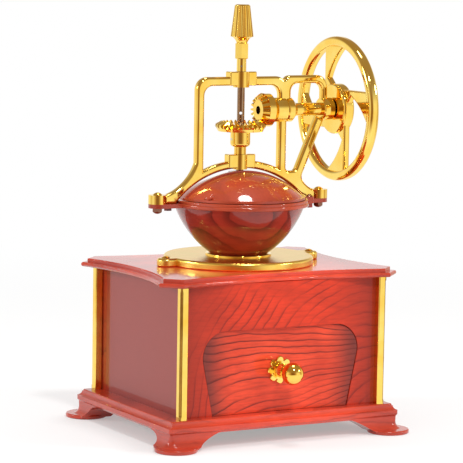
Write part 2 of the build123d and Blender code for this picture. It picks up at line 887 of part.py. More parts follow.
def dome_shell(outer, wall, low):
    """A spherical shell about the shaft, from a height up to its eye around the shaft."""
    with BuildPart() as shell:
        with BuildSketch(Plane.XZ):
            with Locations((0, dome_centre)):
                Circle(outer)
                Circle(outer - wall, mode=Mode.SUBTRACT)
            with Locations((shaft_radius + dome_gap, low)):
                Rectangle(outer, outer, align=(Align.MIN, Align.MIN), mode=Mode.INTERSECT)
        revolve(axis=Axis.Z)
    return shell.part


with BuildPart() as dome_rear:
    add(dome_shell(rear_outer, dome_wall, flange_top))
    with BuildSketch(Plane.XY.offset(flange_top)):
        with Locations((0, -lid_front - lid_lap)):
            Rectangle(4 * dome_radius, 2 * dome_radius, align=(Align.CENTER, Align.MAX))
        Circle(lid_eye, mode=Mode.SUBTRACT)
    extrude(amount=dome_radius, mode=Mode.SUBTRACT)
    with BuildSketch(Plane.XY.offset(flange_top)):
        Circle(cover_ring_radius)
        with Locations(rim_tab_places):
            SlotCenterToCenter(rim_tab_length, 2 * rim_tab_radius)
        Circle(cover_ring_radius - cover_ring_width, mode=Mode.SUBTRACT)
    extrude(amount=cover_ring_height)
    with Locations(
        (-rim_screw_x, rim_screw_y, cover_ring_top), (rim_screw_x, -rim_screw_y, cover_ring_top)
    ):
        Hole(rim_screw_shank, depth=2 * cover_ring_height)
    fillet(dome_rear.edges().filter_by(at_radius(cover_ring_radius)).sort_by(Axis.Z)[-1], cover_ring_round)
dome_rear.part.label = "dome_rear"
export_step(dome_rear.part, "parts/dome_rear.step")

knob_radius_on_dome = dome_radius - lid_knob_sink
knob_place = Plane(
    origin=(
        knob_radius_on_dome * sin(radians(lid_knob_fall)) * sin(radians(lid_knob_turn)),
        -knob_radius_on_dome * sin(radians(lid_knob_fall)) * cos(radians(lid_knob_turn)),
        dome_centre + knob_radius_on_dome * cos(radians(lid_knob_fall)),
    ),
    z_dir=(
        sin(radians(lid_knob_fall)) * sin(radians(lid_knob_turn)),
        -sin(radians(lid_knob_fall)) * cos(radians(lid_knob_turn)),
        cos(radians(lid_knob_fall)),
    ),
)
with BuildPart() as dome_lid:
    add(dome_shell(dome_radius, dome_wall, lid_base))
    with BuildSketch(Plane.XZ):
        with Locations((lid_band_radius, lid_base)):
            Rectangle(lid_band_width, lid_band_height, align=(Align.MAX, Align.MIN))
    revolve(axis=Axis.Z)
    with BuildSketch(Plane.XY.offset(lid_base)):
        with Locations((0, -lid_front)):
            Rectangle(4 * dome_radius, 2 * dome_radius, align=(Align.CENTER, Align.MIN))
        Circle(lid_eye, mode=Mode.SUBTRACT)
    extrude(amount=dome_radius, mode=Mode.SUBTRACT)
    with BuildSketch(Plane.XZ.offset(lid_front)):
        with Locations((0, dome_centre)):
            Circle(rib_radius)
            Circle(rib_radius - lid_rib_rise - dome_wall / 2, mode=Mode.SUBTRACT)
        with Locations((0, lid_base)):
            Rectangle(4 * dome_radius, dome_radius, align=(Align.CENTER, Align.MIN), mode=Mode.INTERSECT)
    extrude(amount=lid_rib_width)
    with BuildSketch(knob_place):
        Circle(lid_knob_neck)
    extrude(amount=dome_wall, mode=Mode.SUBTRACT)
dome_lid.part.label = "dome_lid"
export_step(dome_lid.part, "parts/dome_lid.step")

with BuildPart() as lid_knob:
    with BuildSketch(knob_place):
        Circle(lid_knob_neck)
    extrude(amount=lid_knob_sink + lid_knob_rise / 2)
    with BuildSketch(knob_place.offset(lid_knob_sink + lid_knob_rise / 3)):
        Circle(lid_knob_radius)
    extrude(amount=2 * lid_knob_rise / 3)
    fillet(lid_knob.edges().filter_by(at_radius(lid_knob_radius)), lid_knob_round)
lid_knob.part.label = "lid_knob"
export_step(lid_knob.part, "parts/lid_knob.step")

rim_screw = slotted_screw(
    rim_screw_head,
    rim_screw_rise,
    rim_screw_shank,
    cover_ring_height + flange_thickness + rim_boss_height,
    cover_ring_top,
)
for name, side in (("rim_screw_left", -1), ("rim_screw_right", 1)):
    with BuildPart() as placed_screw:
        with Locations((side * rim_screw_x, -side * rim_screw_y, 0)):
            add(rim_screw)
    placed_screw.part.label = name
    export_step(placed_screw.part, f"parts/{name}.step")

# ---------------------------------------------------------------- yoke

with BuildSketch(Plane.XZ) as yoke_window:
    with Locations((0, yoke_top - top_bar)):
        Rectangle(2 * leg_inner, yoke_top - dome_centre, align=(Align.CENTER, Align.MAX))
    fillet(yoke_window.vertices().group_by(Axis.Y)[-1], yoke_inner_round)
    with Locations((0, dome_centre)):
        Circle(arch_outer, mode=Mode.SUBTRACT)

with BuildSketch(Plane.XZ) as bracket_loop:
    with Locations((bracket_start, yoke_top + bracket_rise)):
        Rectangle(bracket_end - bracket_start, bracket_height, align=(Align.MIN, Align.MAX))
    fillet(bracket_loop.vertices().group_by(Axis.Y)[-1].sort_by(Axis.X)[0], bracket_inner_round)
    fillet(bracket_loop.vertices().group_by(Axis.Y)[-1].sort_by(Axis.X)[-1], bracket_outer_round)
    with Locations((bracket_inner, yoke_top + bracket_rise - bracket_bar)):
        Rectangle(
            tube_end - bracket_inner,
            bracket_height - bracket_bar,
            align=(Align.MIN, Align.MAX),
            mode=Mode.SUBTRACT,
        )
    fillet(
        bracket_loop.vertices().filter_by(
            lambda corner: bracket_start < corner.X < bracket_end
            and abs(corner.Y - yoke_top - bracket_rise + bracket_bar) < running_gap
        ),
        bracket_window_round,
    )

strut_low = Vector(strut_foot_x, flange_top + strut_foot_rise - strut_width)
strut_high = Vector(strut_head_x, axle_z - strut_head_drop)
strut_across = Vector(strut_across_x, -strut_across_z)

with BuildSketch(Plane.XZ) as yoke_outline:
    with Locations((0, yoke_top)):
        Rectangle(2 * leg_outer, yoke_top - flange_top, align=(Align.CENTER, Align.MAX))
    fillet(yoke_outline.vertices().group_by(Axis.Y)[-1], yoke_outer_round)
    with Locations((0, dome_centre)):
        Circle(arch_outer)
    with Locations((0, flange_top)):
        Rectangle(bolt_span, ear_height, align=(Align.CENTER, Align.MIN))
        Rectangle(3 * arch_outer, 3 * arch_outer, align=(Align.CENTER, Align.MAX), mode=Mode.SUBTRACT)
    with BuildLine():
        flare = ThreePointArc(
            (-leg_outer, flange_top + flare_rise),
            (-flare_mid_x, flange_top + flare_mid_rise),
            (-flare_end, ear_top),
        )
        Polyline(flare @ 1, (-flare_end, flange_top), (-leg_inner, flange_top), flare @ 0)
    make_face()
    with BuildLine():
        strut_flare = ThreePointArc(
            (strut_flare_x, flange_top + strut_flare_rise),
            (strut_flare_mid_x, flange_top + strut_flare_mid_rise),
            (strut_flare_end, ear_top),
        )
        Polyline(
            strut_flare @ 1,
            (strut_flare_end, flange_top),
            (leg_inner, flange_top),
            (leg_inner, flange_top + leg_foot_rise),
            (strut_foot_x, flange_top + leg_foot_rise),
            strut_flare @ 0,
        )
    make_face()
    with BuildLine():
        Polyline(
            strut_low - strut_across,
            strut_high - strut_across,
            strut_high + strut_across,
            strut_low + strut_across,
            close=True,
        )
    make_face()
    add(bracket_loop.sketch_local)
    add(yoke_window.sketch_local, mode=Mode.SUBTRACT)
    with Locations((0, dome_centre)):
        Circle(arch_inner, mode=Mode.SUBTRACT)
    for corner_x, corner_z, corner_round in (
        (bracket_start, yoke_top, notch_round),
        (leg_outer, flange_top + leg_foot_rise, crook_round),
        (strut_foot_x, flange_top + leg_foot_rise, crook_round),
        (strut_flare_x, flange_top + strut_flare_rise, flare_round),
        (strut_flare_end, ear_top, crook_round),
        (-flare_end, ear_top, crook_round),
    ):
        corner = yoke_outline.vertices().sort_by_distance((corner_x, corner_z))[0]
        fillet(corner, corner_round)

with BuildPart() as yoke_frame:
    extrude(yoke_outline.sketch, amount=yoke_depth / 2, both=True)
    fillet(
        yoke_frame.faces().sort_by(Axis.Y)[0].edges() + yoke_frame.faces().sort_by(Axis.Y)[-1].edges(),
        edge_round,
    )
    with BuildSketch(Plane.XY.offset(flange_top)):
        with Locations((-bolt_x, 0), (bolt_x, 0)):
            Circle(ear_boss_radius)
    extrude(amount=ear_height)
    with BuildSketch(Plane.XZ):
        with BuildLine():
            Polyline(
                (inner_boss_start, axle_z),
                (inner_boss_start, axle_z + inner_boss_radius - hub_edge_round),
                (inner_boss_start + hub_edge_round, axle_z + inner_boss_radius),
                (boss_groove_x - boss_groove, axle_z + inner_boss_radius),
                (boss_groove_x, axle_z + inner_boss_radius - boss_groove),
                (boss_groove_x + boss_groove, axle_z + inner_boss_radius),
                (inner_boss_end, axle_z + inner_boss_radius),
                (inner_boss_end + boss_taper, axle_z + tube_radius),
                (outer_boss_start, axle_z + tube_radius),
                (outer_boss_start, axle_z + outer_boss_radius - hub_edge_round),
                (outer_boss_start + hub_edge_round, axle_z + outer_boss_radius),
                (outer_boss_end - hub_edge_round, axle_z + outer_boss_radius),
                (outer_boss_end, axle_z + outer_boss_radius - hub_edge_round),
                (outer_boss_end, axle_z),
                close=True,
            )
        make_face()
    revolve(axis=axle_axis)
    for base, radius, drop in (
        (upper_hub_top - hub_height, upper_hub_radius, upper_hub_drop),
        (lower_hub_top - hub_height, lower_hub_radius, lower_hub_drop),
    ):
        with BuildPart(mode=Mode.PRIVATE) as hub:
            with BuildSketch(Plane.XY.offset(base)):
                Rectangle(hub_wing_x, hub_wing_y)
            extrude(amount=hub_height)
            fillet(hub.edges(), hub_edge_round)
            with BuildSketch(Plane.XY.offset(base - drop)):
                Circle(radius)
            extrude(amount=hub_height + drop)
        add(hub.part)
        with BuildSketch(Plane.XY.offset(base - drop)):
            Circle(bush_radius)
        extrude(amount=hub_height + drop, mode=Mode.SUBTRACT)
    for start, end, radius in (
        (inner_boss_start, outer_boss_end, axle_radius + bore_gap),
        (inner_boss_start, inner_boss_end, axle_bush_radius),
        (outer_boss_start, outer_boss_end, axle_bush_radius),
    ):
        with BuildSketch(Plane.YZ.offset(start)):
            with Locations((0, axle_z)):
                Circle(radius)
        extrude(amount=end - start, mode=Mode.SUBTRACT)
    with BuildSketch(Plane.XY.offset(flange_top)):
        with Locations((-bolt_x, 0), (bolt_x, 0)):
            Circle(bolt_shank)
    extrude(amount=ear_height, mode=Mode.SUBTRACT)
yoke_frame.part.label = "yoke_frame"
export_step(yoke_frame.part, "parts/yoke_frame.step")

for name, base, top in (
    ("upper_bush", upper_hub_base, upper_hub_top),
    ("lower_bush", lower_hub_base, lower_hub_top),
):
    with BuildPart() as bush:
        with BuildSketch(Plane.XY.offset(base)):
            Circle(bush_radius)
            Circle(shaft_radius + running_gap, mode=Mode.SUBTRACT)
        extrude(amount=top - base)
    bush.part.label = name
    export_step(bush.part, f"parts/{name}.step")

for name, start, end in (
    ("axle_bush_inner", inner_boss_start, inner_boss_end),
    ("axle_bush_outer", outer_boss_start, outer_boss_end),
):
    with BuildPart() as bush:
        with BuildSketch(Plane.YZ.offset(start)):
            with Locations((0, axle_z)):
                Circle(axle_bush_radius)
                Circle(axle_radius + running_gap, mode=Mode.SUBTRACT)
        extrude(amount=end - start)
    bush.part.label = name
    export_step(bush.part, f"parts/{name}.step")

yoke_bolt = slotted_screw(
    bolt_head, bolt_rise, bolt_shank, ear_height + flange_thickness + acorn_bore, ear_top
)
acorn_cap = (acorn_radius**2 + (acorn_height - acorn_hex) ** 2) / (2 * (acorn_height - acorn_hex))
for name, side in (("left", -1), ("right", 1)):
    with BuildPart() as placed_bolt:
        with Locations((side * bolt_x, 0, 0)):
            add(yoke_bolt)
    placed_bolt.part.label = f"yoke_bolt_{name}"
    export_step(placed_bolt.part, f"parts/yoke_bolt_{name}.step")
    with BuildPart() as acorn_nut:
        with BuildSketch(Plane.XY.offset(flange_base)):
            with Locations((side * bolt_x, 0)):
                RegularPolygon(acorn_radius, 6)
        extrude(amount=-acorn_height)
        with Locations((side * bolt_x, 0, flange_base - acorn_height + acorn_cap)):
            Sphere(acorn_cap, mode=Mode.INTERSECT)
        with BuildSketch(Plane.XY.offset(flange_base)):
            with Locations((side * bolt_x, 0)):
                Circle(bolt_shank)
        extrude(amount=-acorn_bore, mode=Mode.SUBTRACT)
    acorn_nut.part.label = f"acorn_nut_{name}"
    export_step(acorn_nut.part, f"parts/acorn_nut_{name}.step")

# ---------------------------------------------------------------- vertical shaft and finial

with BuildPart() as vertical_shaft:
    with BuildSketch(Plane.XY.offset(shaft_bottom)):
        Circle(shaft_radius)
    extrude(amount=shaft_top - shaft_bottom)
    with BuildSketch(cross_plane):
        with Locations((0, axle_z - hole_drop)):
            Circle(shaft_hole)
        with Locations((0, upper_hub_top + finial_pin_rise)):
            Circle(finial_pin)
    extrude(amount=shaft_radius, both=True, mode=Mode.SUBTRACT)
    with BuildSketch(Plane.YZ):
        with Locations((0, crown_pin_z)):
            Circle(gear_pin)
    extrude(amount=shaft_radius, both=True, mode=Mode.SUBTRACT)
vertical_shaft.part.label = "vertical_shaft"
export_step(vertical_shaft.part, "parts/vertical_shaft.step")

with BuildPart() as collar_pin:
    with BuildSketch(cross_plane):
        with Locations((0, upper_hub_top + finial_pin_rise)):
            Circle(finial_pin)
    extrude(amount=finial_collar_radius, both=True)
collar_pin.part.label = "collar_pin"
export_step(collar_pin.part, "parts/collar_pin.step")

flute_lean = atan2(finial_cup_radius - finial_top_radius, finial_cup_height)
with BuildPart() as finial:
    with BuildSketch(Plane.XY.offset(finial_base)):
        RegularPolygon(finial_barrel_radius / cos(pi / 6), 6)
    extrude(amount=finial_barrel_height)
    chamfer(finial.faces().sort_by(Axis.Z)[0].edges(), finial_bevel)
    with BuildSketch(Plane.XZ):
        with BuildLine():
            flare_low = finial_base + finial_barrel_height
            flare_curve = ThreePointArc(
                (finial_neck_radius, flare_low),
                (finial_flare_mid_radius, flare_low + finial_flare_mid_rise),
                (finial_cup_radius, finial_flare_z),
            )
            Polyline(
                flare_curve @ 1,
                (finial_top_radius, finial_top - finial_dome),
                (finial_crown_radius, finial_top - finial_crown_drop),
                (0, finial_top),
                (0, flare_low),
                flare_curve @ 0,
            )
        make_face()
    revolve(axis=shaft_axis)
    with BuildPart(mode=Mode.PRIVATE) as flute:
        with BuildSketch(
            Plane(
                origin=(finial_cup_radius + finial_flute_out, 0, finial_flare_z - finial_dome),
                z_dir=(-sin(flute_lean), 0, cos(flute_lean)),
            )
        ):
            Circle(finial_flute_radius)
        extrude(amount=finial_cup_height)
    with PolarLocations(0, finial_flutes):
        add(flute.part, mode=Mode.SUBTRACT)
    with BuildSketch(Plane.XY.offset(finial_start)):
        Circle(finial_collar_radius)
    extrude(amount=finial_base - finial_start)
    with BuildSketch(Plane.XY.offset(finial_start)):
        Circle(shaft_radius)
    extrude(amount=shaft_top - finial_start, mode=Mode.SUBTRACT)
    with BuildSketch(cross_plane):
        with Locations((0, upper_hub_top + finial_pin_rise)):
            Circle(finial_pin)
    extrude(amount=2 * finial_collar_radius, both=True, mode=Mode.SUBTRACT)
finial.part.label = "finial"
export_step(finial.part, "parts/finial.step")

# ---------------------------------------------------------------- bevel gears


def space_half_width(height):
    """Half the width of a tooth space at a height above the pitch line."""
    return pi * gear_module / 4 + tooth_play / 2 + height * tan(radians(pressure_angle))


def bevel_space(teeth, mate):
    """One space between bevel teeth, with the cone's apex at the origin and its axis on +Z."""
    cone = atan2(teeth, mate)
    low = -tooth_root * gear_module
    high = gear_module + pinion_gap
    with BuildPart() as space:
        for reach in (space_start, 1.0):
            with BuildSketch(
                Plane(
                    origin=(reach * gear_module * teeth / 2, 0, reach * gear_module * mate / 2),
                    x_dir=(0, -1, 0),
                    z_dir=(sin(cone), 0, cos(cone)),
                )
            ):
                with BuildLine():
                    Polyline(
                        (-reach * space_half_width(low), reach * low),
                        (reach * space_half_width(low), reach * low),
                        (reach * space_half_width(high), reach * high),
                        (-reach * space_half_width(high), reach * high),
                        close=True,
                    )
                make_face()
        loft(ruled=True)
    return space.part


def cone_point(teeth, mate, reach, height):
    """A point on a tooth, as radius and distance from the apex along the gear's axis."""
    cone = atan2(teeth, mate)
    return (
        reach * (gear_module * teeth / 2 + height * cos(cone)),
        reach * (gear_module * mate / 2 - height * sin(cone)),
    )


tip = tooth_tip * gear_module
root = -tooth_root * gear_module
inner_reach = 1 - tooth_face / hypot(gear_module * crown_teeth / 2, gear_module * pinion_teeth / 2)

crown_space = bevel_space(crown_teeth, pinion_teeth)
crown_root = cone_point(crown_teeth, pinion_teeth, 1, root)
crown_front = cone_point(crown_teeth, pinion_teeth, inner_reach, root)
with BuildPart() as crown_blank:
    with BuildSketch(Plane.XZ):
        with BuildLine():
            Polyline(
                (shaft_radius, crown_front[1]),
                crown_front,
                cone_point(crown_teeth, pinion_teeth, inner_reach, tip),
                cone_point(crown_teeth, pinion_teeth, tip_reach, tip),
                cone_point(crown_teeth, pinion_teeth, 1, 0),
                crown_root,
                (crown_root[0] - crown_web / 2, crown_root[1] + crown_web),
                (crown_hub_radius, crown_root[1] + crown_web),
                (crown_hub_radius, axle_z - crown_hub_base),
                (spacer_radius, axle_z - crown_hub_base),
                (spacer_radius, axle_z - lower_hub_top - spacer_gap),
                (shaft_radius, axle_z - lower_hub_top - spacer_gap),
                close=True,
            )
        make_face()
    revolve(axis=Axis.Z)
    fillet(
        crown_blank.edges().filter_by(at_radius(crown_hub_radius)).sort_by(Axis.Z)[-1],
        min(crown_hub_round, crown_hub_length / 4),
    )
    with PolarLocations(0, crown_teeth):
        add(crown_space, mode=Mode.SUBTRACT)

with BuildPart() as crown_gear:
    with Locations(crown_plane):
        add(crown_blank.part)
    with BuildSketch(Plane.YZ):
        with Locations((0, crown_pin_z)):
            Circle(gear_pin)
    extrude(amount=crown_hub_radius, both=True, mode=Mode.SUBTRACT)
crown_gear.part.label = "crown_gear"
export_step(crown_gear.part, "parts/crown_gear.step")

with BuildPart() as crown_pin:
    with BuildSketch(Plane.YZ):
        with Locations((0, crown_pin_z)):
            Circle(gear_pin)
    extrude(amount=crown_hub_radius, both=True)
crown_pin.part.label = "crown_pin"
export_step(crown_pin.part, "parts/crown_pin.step")

pinion_space = bevel_space(pinion_teeth, crown_teeth)
pinion_tip = cone_point(pinion_teeth, crown_teeth, 1, tip)
pinion_front = cone_point(pinion_teeth, crown_teeth, inner_reach, root)
with BuildPart() as pinion_blank:
    with BuildSketch(Plane.XZ):
        with BuildLine():
            Polyline(
                (axle_radius, pinion_front[1]),
                pinion_front,
                cone_point(pinion_teeth, crown_teeth, inner_reach, tip),
                pinion_tip,
                (pinion_tip[0] - tip_step, pinion_tip[1] + tip_step),
                (pinion_tip[0] - tip_step, pinion_end),
                (pinion_collar_radius, pinion_end),
                (pinion_collar_radius, inner_boss_start - pinion_gap),
                (axle_radius, inner_boss_start - pinion_gap),
                close=True,
            )
        make_face()
    revolve(axis=Axis.Z)
    with PolarLocations(0, pinion_teeth, start_angle=180 / pinion_teeth):
        add(pinion_space, mode=Mode.SUBTRACT)
    with BuildSketch(Plane.XY.offset(pinion_tip[1])):
        with PolarLocations(0, pinion_teeth, start_angle=180 / pinion_teeth):
            with BuildLine():
                pitch_radius = gear_module * pinion_teeth / 2
                Polyline(
                    (pitch_radius + root, space_half_width(root)),
                    (pitch_radius + root, -space_half_width(root)),
                    (pitch_radius + 2 * tip, -space_half_width(2 * tip)),
                    (pitch_radius + 2 * tip, space_half_width(2 * tip)),
                    close=True,
                )
            make_face()
    extrude(amount=pinion_end - pinion_tip[1], mode=Mode.SUBTRACT)

with BuildPart() as pinion:
    with Locations(pinion_plane):
        add(pinion_blank.part)
    with BuildSketch(Plane.XZ):
        with Locations((pinion_pin_x, axle_z)):
            Circle(gear_pin)
    extrude(amount=gear_module * pinion_teeth, both=True, mode=Mode.SUBTRACT)
pinion.part.label = "pinion"
export_step(pinion.part, "parts/pinion.step")

# ---------------------------------------------------------------- crank wheel

with BuildPart() as crank_axle:
    with BuildSketch(Plane.YZ.offset(axle_start)):
        with Locations((0, axle_z)):
            Circle(axle_radius)
    extrude(amount=nut_end - axle_start)
    chamfer(crank_axle.edges().filter_by(GeomType.CIRCLE), bore_gap)
    with BuildSketch(Plane.XZ):
        with Locations((pinion_pin_x, axle_z)):
            Circle(gear_pin)
    extrude(amount=axle_radius, both=True, mode=Mode.SUBTRACT)
crank_axle.part.label = "crank_axle"
export_step(crank_axle.part, "parts/crank_axle.step")

with BuildPart() as pinion_pin:
    with BuildSketch(Plane.XZ):
        with Locations((pinion_pin_x, axle_z)):
            Circle(gear_pin)
    extrude(amount=pinion_collar_radius, both=True)
pinion_pin.part.label = "pinion_pin"
export_step(pinion_pin.part, "parts/pinion_pin.step")



def turned(point, turn):
    """A point of the wheel's web, turned about the axle by an angle in radians."""
    x, y = point
    return (x * cos(turn) - y * sin(turn), x * sin(turn) + y * cos(turn))


with BuildSketch(wheel_plane) as wheel_web:
    for spoke in range(spokes):
        turn = 2 * pi * spoke / spokes
        with BuildLine():
            spoke_curve = ThreePointArc(
                turned((spoke_tip_side, spoke_tip_reach), turn),
                turned((spoke_middle_side, spoke_middle_reach), turn),
                turned((spoke_neck_side, spoke_neck_reach), turn),
            )
            Polyline(
                spoke_curve @ 1,
                turned((spoke_root, spoke_root), turn),
                turned((-spoke_edge, spoke_root), turn),
                turned((-spoke_edge, spoke_tip_reach), turn),
                spoke_curve @ 0,
            )
        make_face()
    Circle(hub_radius - hub_round)

with BuildPart() as hub_drum:
    with BuildSketch(Plane.YZ.offset(hub_start)):
        with Locations((0, axle_z)):
            Circle(hub_radius)
    extrude(amount=hub_width)
    fillet(hub_drum.edges().filter_by(at_radius(hub_radius)), hub_round)

with BuildPart() as hand_wheel:
    extrude(wheel_web.sketch, amount=spoke_thickness / 2, both=True)
    fillet(
        hand_wheel.faces().sort_by(Axis.X)[0].edges() + hand_wheel.faces().sort_by(Axis.X)[-1].edges(),
        spoke_round,
    )
    with BuildSketch(Plane.XZ):
        with Locations((wheel_x, axle_z + wheel_radius - rim_section / 2)):
            RectangleRounded(rim_width, rim_section, rim_round)
    revolve(axis=axle_axis)
    add(hub_drum.part)
    with BuildSketch(Plane.YZ.offset(hub_start)):
        with Locations((0, axle_z)):
            Circle(axle_radius)
        with Locations((crank_pin_y, crank_pin_z)):
            Circle(crank_pin_radius)
    extrude(amount=hub_width, mode=Mode.SUBTRACT)
hand_wheel.part.label = "hand_wheel"
export_step(hand_wheel.part, "parts/hand_wheel.step")

with BuildPart() as wheel_nut:
    with BuildSketch(Plane.YZ.offset(hub_end)):
        with Locations((0, axle_z)):
            RegularPolygon(wheel_nut_radius, 6)
            Circle(axle_radius, mode=Mode.SUBTRACT)
    extrude(amount=wheel_nut_height)
wheel_nut.part.label = "wheel_nut"
export_step(wheel_nut.part, "parts/wheel_nut.step")

knob_pin_axis = Axis((0, crank_pin_y, crank_pin_z), (1, 0, 0))
knob_start = spoke_face + crank_collar + crank_knob_gap
knob_end = foot_reach - crank_pin_cap - crank_knob_gap
knob_length = knob_end - knob_start
with BuildPart() as crank_knob_pin:
    with BuildSketch(Plane.XY.offset(crank_pin_z)):
        with BuildLine():
            Polyline(
                (wheel_x - spoke_thickness / 2, crank_pin_y),
                (wheel_x - spoke_thickness / 2, crank_pin_y + crank_pin_radius),
                (spoke_face, crank_pin_y + crank_pin_radius),
                (spoke_face, crank_pin_y + crank_pin_head),
                (spoke_face + crank_collar, crank_pin_y + crank_pin_head),
                (spoke_face + crank_collar, crank_pin_y + crank_pin_radius),
                (foot_reach - crank_pin_cap, crank_pin_y + crank_pin_radius),
                (foot_reach - crank_pin_cap, crank_pin_y + crank_pin_head),
                (foot_reach, crank_pin_y + crank_pin_tip),
                (foot_reach, crank_pin_y),
                close=True,
            )
        make_face()
    revolve(axis=knob_pin_axis)
crank_knob_pin.part.label = "crank_knob_pin"
export_step(crank_knob_pin.part, "parts/crank_knob_pin.step")

with BuildPart() as crank_knob:
    with BuildSketch(Plane.XY.offset(crank_pin_z)):
        with BuildLine():
            knob_curve = Spline(
                (knob_start, crank_pin_y + crank_knob_waist),
                (knob_start + crank_knob_neck_place * knob_length, crank_pin_y + crank_knob_neck),
                (knob_start + crank_knob_swell_place * knob_length, crank_pin_y + crank_knob_radius),
                (knob_end, crank_pin_y + crank_knob_waist),
            )
            Polyline(
                knob_curve @ 1,
                (knob_end, crank_pin_y + crank_pin_radius + running_gap),
                (knob_start, crank_pin_y + crank_pin_radius + running_gap),
                knob_curve @ 0,
            )
        make_face()
    revolve(axis=knob_pin_axis)
crank_knob.part.label = "crank_knob"
export_step(crank_knob.part, "parts/crank_knob.step")

# ---------------------------------------------------------------- grinding parts

with BuildPart() as burr_housing:
    with BuildSketch(Plane.XY.offset(housing_base)):
        Circle(housing_radius)
        Circle(housing_radius - housing_wall, mode=Mode.SUBTRACT)
    extrude(amount=housing_depth)
    with BuildSketch(Plane.XY.offset(box_top)):
        Circle(housing_flange)
        Circle(housing_radius - housing_wall, mode=Mode.SUBTRACT)
    extrude(amount=-housing_flange_thickness)
burr_housing.part.label = "burr_housing"
export_step(burr_housing.part, "parts/burr_housing.step")

with BuildPart() as outer_burr:
    with BuildSketch(Plane.XZ):
        with BuildLine():
            Polyline(
                (outer_burr_bottom, burr_base),
                (housing_radius - housing_wall, burr_base),
                (housing_radius - housing_wall, burr_base + outer_burr_height),
                (outer_burr_top, burr_base + outer_burr_height),
                close=True,
            )
        make_face()
    revolve(axis=shaft_axis)
    with BuildSketch(Plane.XY.offset(burr_base)):
        with PolarLocations(outer_burr_top, outer_burr_grooves):
            Circle(outer_groove_radius)
    extrude(amount=outer_burr_height, mode=Mode.SUBTRACT)
outer_burr.part.label = "outer_burr"
export_step(outer_burr.part, "parts/outer_burr.step")

groove_lean = atan2(inner_burr_bottom - inner_burr_top, inner_burr_height)
with BuildPart() as inner_burr:
    with BuildSketch(Plane.XZ):
        with BuildLine():
            Polyline(
                (shaft_radius, burr_base),
                (inner_burr_bottom, burr_base),
                (inner_burr_top, burr_base + inner_burr_height),
                (shaft_radius, burr_base + inner_burr_height),
                close=True,
            )
        make_face()
    revolve(axis=shaft_axis)
    with BuildPart(mode=Mode.PRIVATE) as groove:
        with BuildSketch(
            Plane(
                origin=(inner_burr_bottom + inner_groove_radius / 2, 0, burr_base - inner_groove_radius),
                z_dir=(-sin(groove_lean), 0, cos(groove_lean)),
            )
        ):
            Circle(inner_groove_radius)
        extrude(amount=inner_burr_height + 3 * inner_groove_radius)
    with PolarLocations(0, inner_burr_grooves):
        add(groove.part, mode=Mode.SUBTRACT)
inner_burr.part.label = "inner_burr"
export_step(inner_burr.part, "parts/inner_burr.step")

with BuildPart() as burr_bridge:
    with BuildSketch(Plane.XY.offset(bridge_base)):
        Circle(housing_radius - housing_wall)
        Circle(shaft_radius + running_gap, mode=Mode.SUBTRACT)
    extrude(amount=bridge_height)
    with BuildSketch(Plane.XY.offset(bridge_base)):
        for window in range(bridge_windows):
            start = 360 * window / bridge_windows + bridge_rib_angle / 2
            reach = 360 / bridge_windows - bridge_rib_angle
            with BuildLine():
                inner_arc = CenterArc((0, 0), bridge_hub, start, reach)
                outer_arc = CenterArc((0, 0), housing_radius - 2 * housing_wall, start, reach)
                Line(inner_arc @ 0, outer_arc @ 0)
                Line(inner_arc @ 1, outer_arc @ 1)
            make_face()
    extrude(amount=bridge_height, mode=Mode.SUBTRACT)
burr_bridge.part.label = "burr_bridge"
export_step(burr_bridge.part, "parts/burr_bridge.step")

with BuildPart() as thrust_washer:
    with BuildSketch(Plane.XY.offset(bridge_top + running_gap)):
        Circle(washer_radius)
        Circle(shaft_radius, mode=Mode.SUBTRACT)
    extrude(amount=washer_thickness - running_gap)
thrust_washer.part.label = "thrust_washer"
export_step(thrust_washer.part, "parts/thrust_washer.step")

with BuildPart() as burr_spring:
    with BuildLine() as coil:
        Helix(
            pitch=(spring_height - 2 * spring_wire) / spring_turns,
            height=spring_height - 2 * spring_wire,
            radius=spring_radius,
            center=(0, 0, washer_top + spring_wire),
        )
    with BuildSketch(Plane(origin=coil.line @ 0, z_dir=coil.line % 0)):
        Circle(spring_wire)
    sweep()
burr_spring.part.label = "burr_spring"
export_step(burr_spring.part, "parts/burr_spring.step")

with BuildPart() as adjuster_nut:
    with BuildSketch(Plane.XY.offset(adjuster_base)):
        Circle(adjuster_radius)
        Circle(shaft_radius + running_gap, mode=Mode.SUBTRACT)
        with PolarLocations(adjuster_radius, adjuster_notches):
            Circle(adjuster_notch, mode=Mode.SUBTRACT)
    extrude(amount=adjuster_height)
adjuster_nut.part.label = "adjuster_nut"
export_step(adjuster_nut.part, "parts/adjuster_nut.step")
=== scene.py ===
import math

import bmesh
import bpy
from mathutils import Matrix, Vector

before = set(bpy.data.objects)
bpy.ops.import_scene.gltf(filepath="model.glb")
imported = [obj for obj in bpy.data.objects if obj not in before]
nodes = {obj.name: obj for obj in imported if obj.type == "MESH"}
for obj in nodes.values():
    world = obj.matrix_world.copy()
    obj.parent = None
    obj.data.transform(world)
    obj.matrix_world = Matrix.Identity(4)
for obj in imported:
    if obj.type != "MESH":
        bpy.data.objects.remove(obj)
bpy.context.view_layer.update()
print("frame loaded:", len(nodes), "nodes")

scene = bpy.context.scene
scene.view_settings.view_transform = "Standard"

# camera: where it stands round the grinder, and what it aims at, in metres and degrees
view = {
    "azimuth": 28.917,
    "elevation": 6.586,
    "roll": -0.9655,
    "distance": 1.5613,
    "aimRight": -0.00441,
    "aimUp": 0.12029,
    "lens": 197.1,
    "sensor": 36.0,
    "clipStart": 0.05,
    "clipEnd": 100.0,
}


